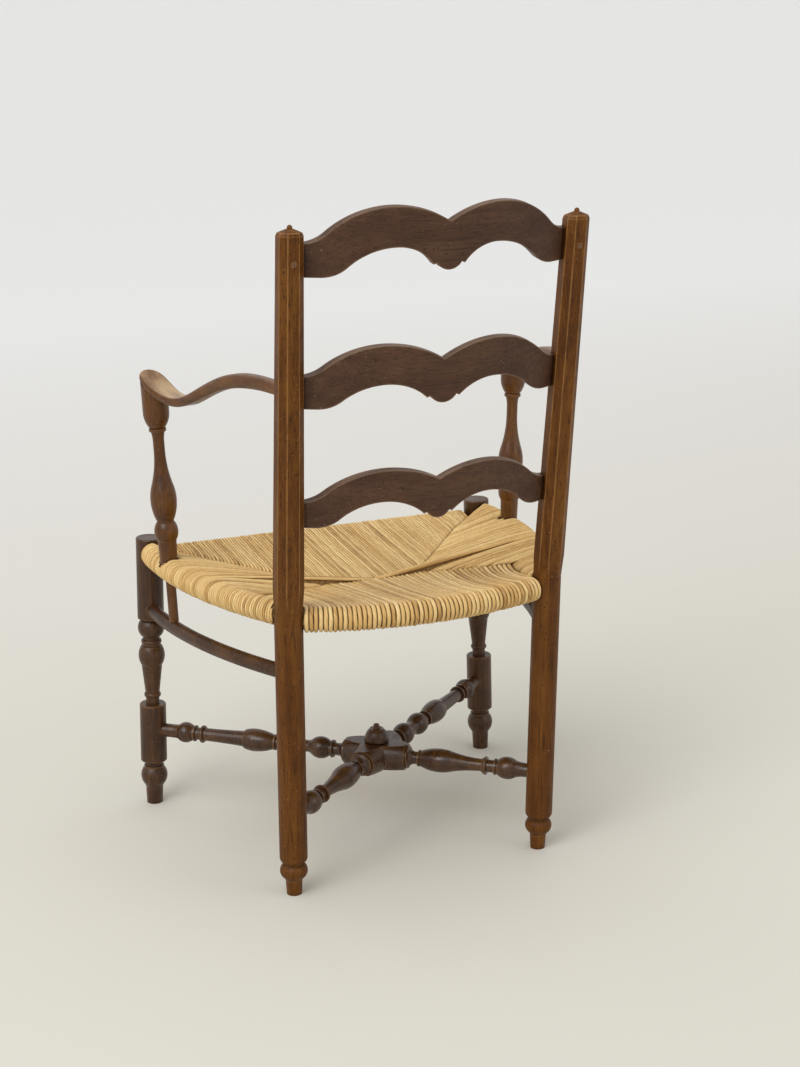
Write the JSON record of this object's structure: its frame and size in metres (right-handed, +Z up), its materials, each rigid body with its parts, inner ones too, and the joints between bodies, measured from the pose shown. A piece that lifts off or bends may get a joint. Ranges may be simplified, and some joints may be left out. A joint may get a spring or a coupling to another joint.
{
  "type": "ladderback armchair",
  "caption": "Country ladderback armchair with scrolled bowed slats, open sinuous arms on turned supports, turned front legs, crossed turned stretchers and a woven rush seat.",
  "frame": {"origin": "on the floor, under the middle of the chair's outer box", "axes": "+Z up, +X to the sitter's left, +Y to the back of the chair, so the chair faces -Y"},
  "size_m": [0.6102, 0.5343, 0.9714],
  "materials": {
    "post_wood": "waxed, worn edges",
    "turned_wood": "waxed, glossy",
    "slat_wood": "waxed, satin",
    "arm_wood": "waxed, worn pale on top",
    "rail_wood": "bare",
    "peg_wood": "waxed",
    "rush": "dry twisted rush"
  },
  "bodies": {
    "root": {"rear_post_left": "post_wood", "rear_post_right": "post_wood", "front_leg_left": "turned_wood", "front_leg_right": "turned_wood", "top_slat": "slat_wood", "middle_slat": "slat_wood", "bottom_slat": "slat_wood", "slat_pegs": "peg_wood", "arm_left": "arm_wood", "arm_right": "arm_wood", "arm_support_left": "arm_wood", "arm_support_right": "arm_wood", "seat_rail_front": "rail_wood", "seat_rail_rear": "rail_wood", "seat_rail_left": "rail_wood", "seat_rail_right": "rail_wood", "side_stretcher_left": "turned_wood", "side_stretcher_right": "turned_wood", "cross_stretcher_upper": "turned_wood", "cross_stretcher_lower": "turned_wood", "cross_knob": "turned_wood", "rush_front": "rush", "rush_rear": "rush", "rush_left": "rush", "rush_right": "rush"}
  },
  "joints": []
}
